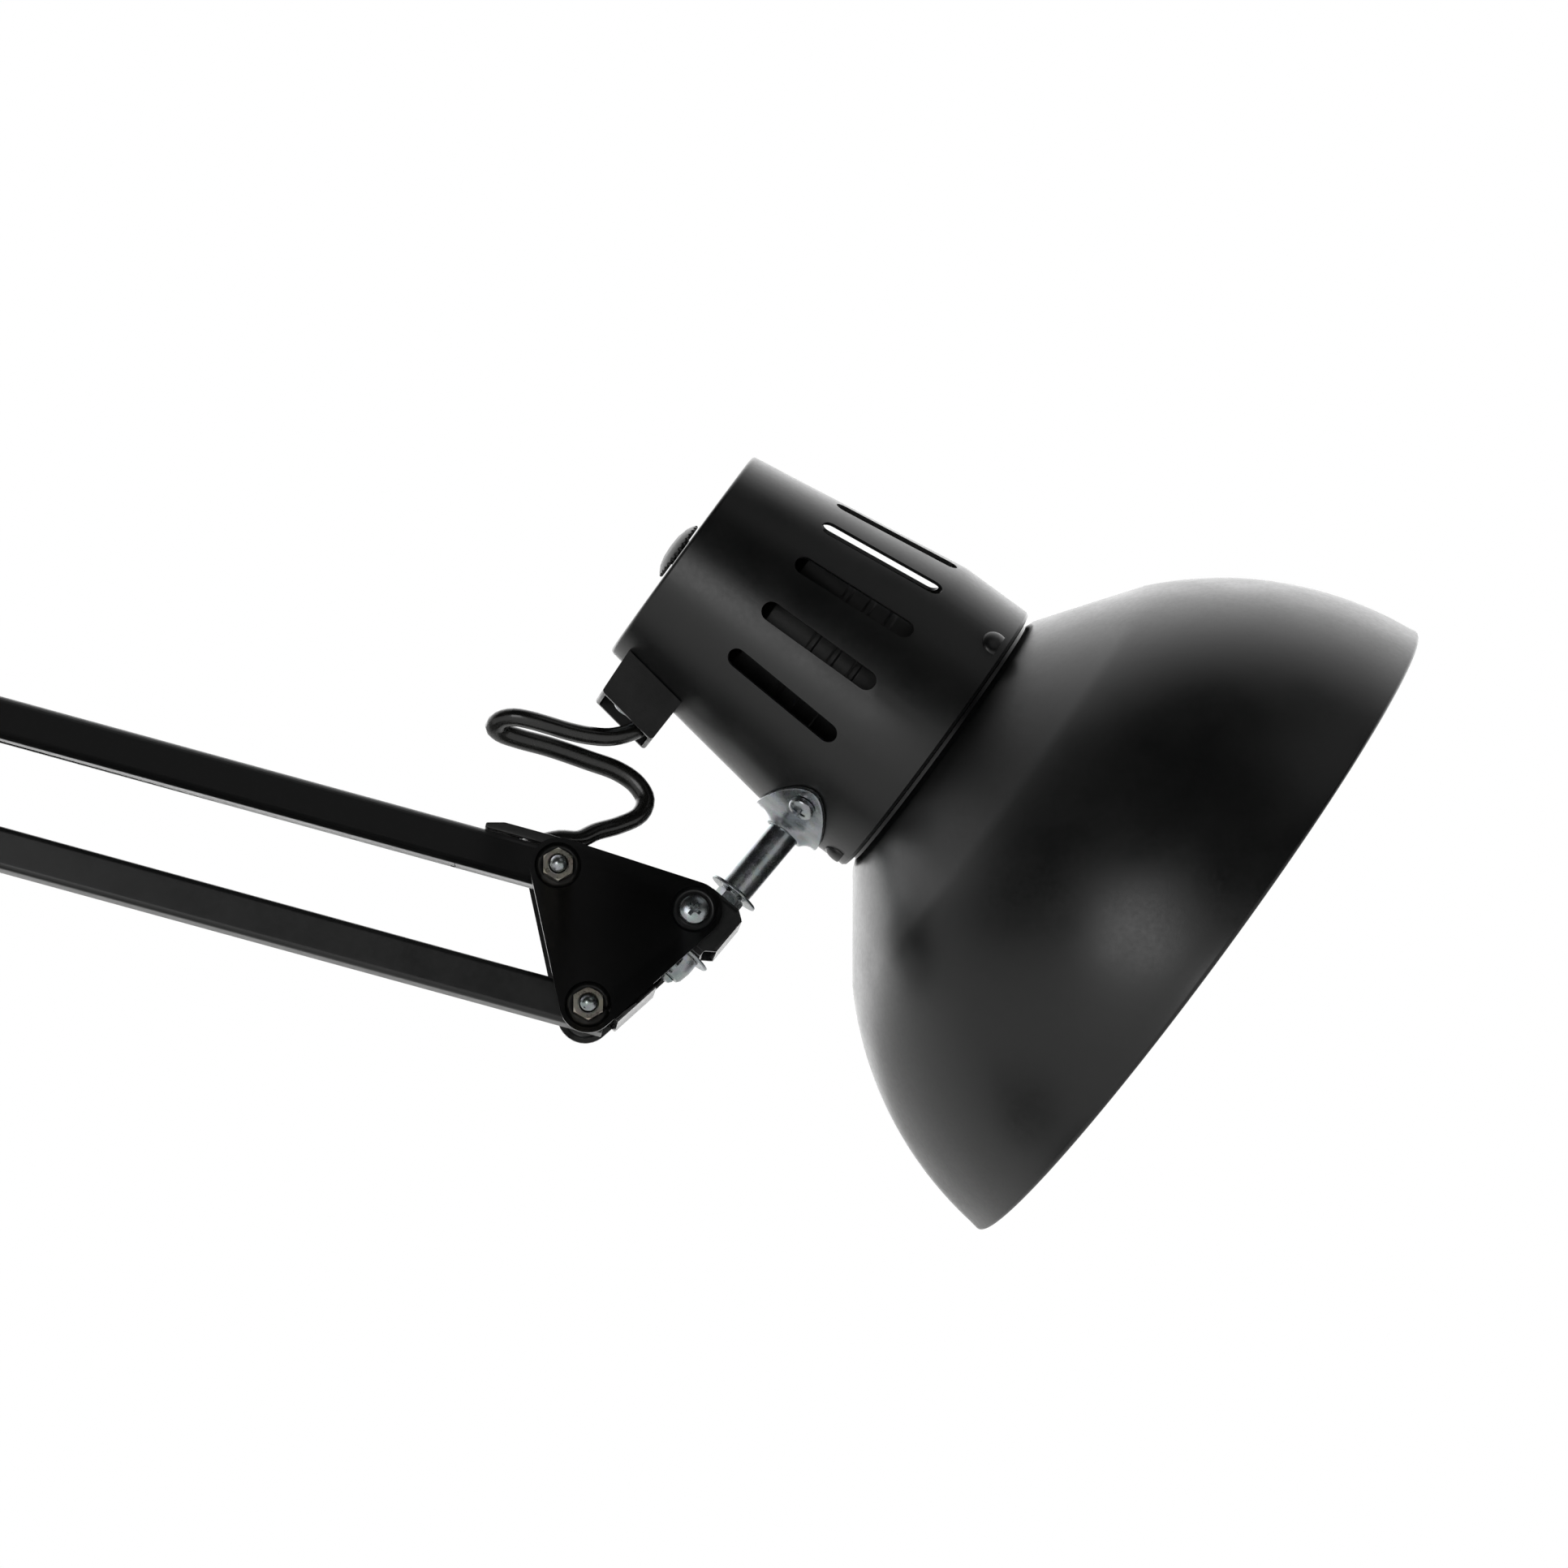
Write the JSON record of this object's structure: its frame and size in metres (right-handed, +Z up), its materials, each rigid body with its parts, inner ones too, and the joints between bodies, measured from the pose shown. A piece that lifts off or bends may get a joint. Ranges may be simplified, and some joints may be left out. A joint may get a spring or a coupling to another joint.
{
  "type": "swing arm desk lamp",
  "caption": "Adjustable desk lamp: weighted round base, two parallel-bar arms with balance springs, bell shade on a swivelling stem.",
  "frame": {"origin": "middle of the underside of the base pad", "axes": "+Z up; the arms fold in the XZ plane and the shade reaches towards +X"},
  "size_m": [0.7417, 0.22, 0.5307],
  "materials": {
    "black_enamel": "satin black powder coat",
    "black_plastic": "semi-gloss moulded plastic",
    "black_cord": "glossy soft vinyl",
    "zinc": "bright zinc plate",
    "nickel": "nickel plate",
    "spring_steel": "plated spring wire",
    "foam": "matt foam rubber",
    "frosted_glass": "frosted",
    "brass": "plain metal lamp cap"
  },
  "bodies": {
    "base": {"base_pad": "foam", "base_plate": "black_enamel", "base_socket": "zinc", "lead_cord": "black_cord", "lead_coil": "black_cord", "lead_tail": "black_cord", "plug": "black_plastic"},
    "turret": {"turret_post": "zinc", "turret_bracket": "black_enamel", "rear_foot_bolt": "zinc", "front_foot_bolt": "zinc", "lower_spring_bolt": "zinc", "cord_grip": "black_plastic", "foot_cord": "black_cord", "lower_spring_near": "spring_steel", "lower_spring_far": "spring_steel"},
    "lower_rear_bar": {"lower_rear_bar": "black_enamel", "lower_foot_bush": "black_plastic", "lower_tip_bush": "black_plastic", "lower_arm_cord": "black_cord"},
    "lower_front_bar": {"lower_front_bar": "black_enamel"},
    "elbow": {"elbow_plate_near": "black_enamel", "elbow_plate_far": "black_enamel", "elbow_rear_bolt": "zinc", "elbow_front_bolt": "zinc", "elbow_bottom_bolt": "zinc", "elbow_top_bolt": "zinc", "upper_spring_bolt": "zinc", "elbow_cord": "black_cord", "upper_spring_near": "spring_steel", "upper_spring_far": "spring_steel"},
    "upper_top_bar": {"upper_top_bar": "black_enamel", "upper_root_bush": "black_plastic", "upper_tip_bush": "black_plastic", "upper_arm_cord": "black_cord"},
    "upper_bottom_bar": {"upper_bottom_bar": "black_enamel"},
    "head_bracket": {"head_bracket": "black_enamel", "head_top_bolt": "zinc", "head_bottom_bolt": "zinc", "head_top_nut": "nickel", "head_bottom_nut": "nickel"},
    "yoke": {"yoke": "black_enamel", "tilt_screw_near": "zinc", "tilt_screw_far": "zinc"},
    "head": {"stem": "zinc", "stem_top_washer": "zinc", "stem_spacer": "zinc", "shade": "black_enamel", "housing": "black_enamel", "saddle": "zinc", "saddle_screw_near": "zinc", "saddle_screw_far": "zinc", "cord_box": "black_plastic", "cord_clamp": "zinc", "lampholder": "black_plastic", "bulb_cap": "brass", "bulb_globe": "frosted_glass", "head_cord": "black_cord"},
    "switch_knob": {"switch_knob": "black_plastic"},
    "wing_nut": {"wing_nut": "zinc"}
  },
  "joints": [
    {"name": "base_swivel", "type": "hinge", "parent": "base", "child": "turret", "pos_m": [0, 0, 0.03], "axis": [0, 0, 1], "range_deg": [-170, 170]},
    {"name": "lower_arm", "type": "hinge", "parent": "turret", "child": "lower_rear_bar", "pos_m": [-0.01715, 0, 0.0753], "axis": [0, 1, 0], "range_deg": [-15, 30], "deforming": ["foot_cord", "lower_spring_near", "lower_spring_far"]},
    {"name": "lower_front_pivot", "type": "hinge", "parent": "turret", "child": "lower_front_bar", "pos_m": [0.01715, 0, 0.0753], "axis": [0, 1, 0], "range_deg": [-15, 30]},
    {"name": "elbow_pivot", "type": "hinge", "parent": "lower_rear_bar", "child": "elbow", "pos_m": [-0.12068, 0, 0.46168], "axis": [0, 1, 0], "range_deg": [-30, 15]},
    {"name": "upper_arm", "type": "hinge", "parent": "elbow", "child": "upper_top_bar", "pos_m": [-0.07774, 0, 0.51318], "axis": [0, -1, 0], "range_deg": [-32, 45], "deforming": ["elbow_cord", "upper_spring_near", "upper_spring_far"]},
    {"name": "upper_bottom_pivot", "type": "hinge", "parent": "elbow", "child": "upper_bottom_bar", "pos_m": [-0.07038, 0, 0.47968], "axis": [0, -1, 0], "range_deg": [-32, 45]},
    {"name": "head_bracket_pivot", "type": "hinge", "parent": "upper_top_bar", "child": "head_bracket", "pos_m": [0.30863, 0, 0.40965], "axis": [0, -1, 0], "range_deg": [-45, 32]},
    {"name": "head_tilt", "type": "hinge", "parent": "head_bracket", "child": "yoke", "pos_m": [0.34132, 0, 0.39928], "axis": [0, -1, 0], "range_deg": [-50, 35], "deforming": ["head_cord"]},
    {"name": "head_swivel", "type": "hinge", "parent": "yoke", "child": "head", "pos_m": [0.3517, 0, 0.40523], "axis": [0.6374, 0, 0.7705], "range_deg": [-80, 80]},
    {"name": "switch_turn", "type": "hinge", "parent": "head", "child": "switch_knob", "pos_m": [0.33852, -0.00416, 0.4876], "axis": [-0.8124, -0.0661, 0.5793], "range_deg": [0, 90]},
    {"name": "wing_nut_turn", "type": "hinge", "parent": "head", "child": "wing_nut", "pos_m": [0.3517, 0, 0.40523], "axis": [0.6374, 0, 0.7705], "range_deg": [-90, 180]}
  ],
  "couplings": [
    {"joint": "lower_front_pivot", "follows": "lower_arm", "ratio": 1},
    {"joint": "elbow_pivot", "follows": "lower_arm", "ratio": -1},
    {"joint": "upper_bottom_pivot", "follows": "upper_arm", "ratio": 1},
    {"joint": "head_bracket_pivot", "follows": "upper_arm", "ratio": -1}
  ]
}
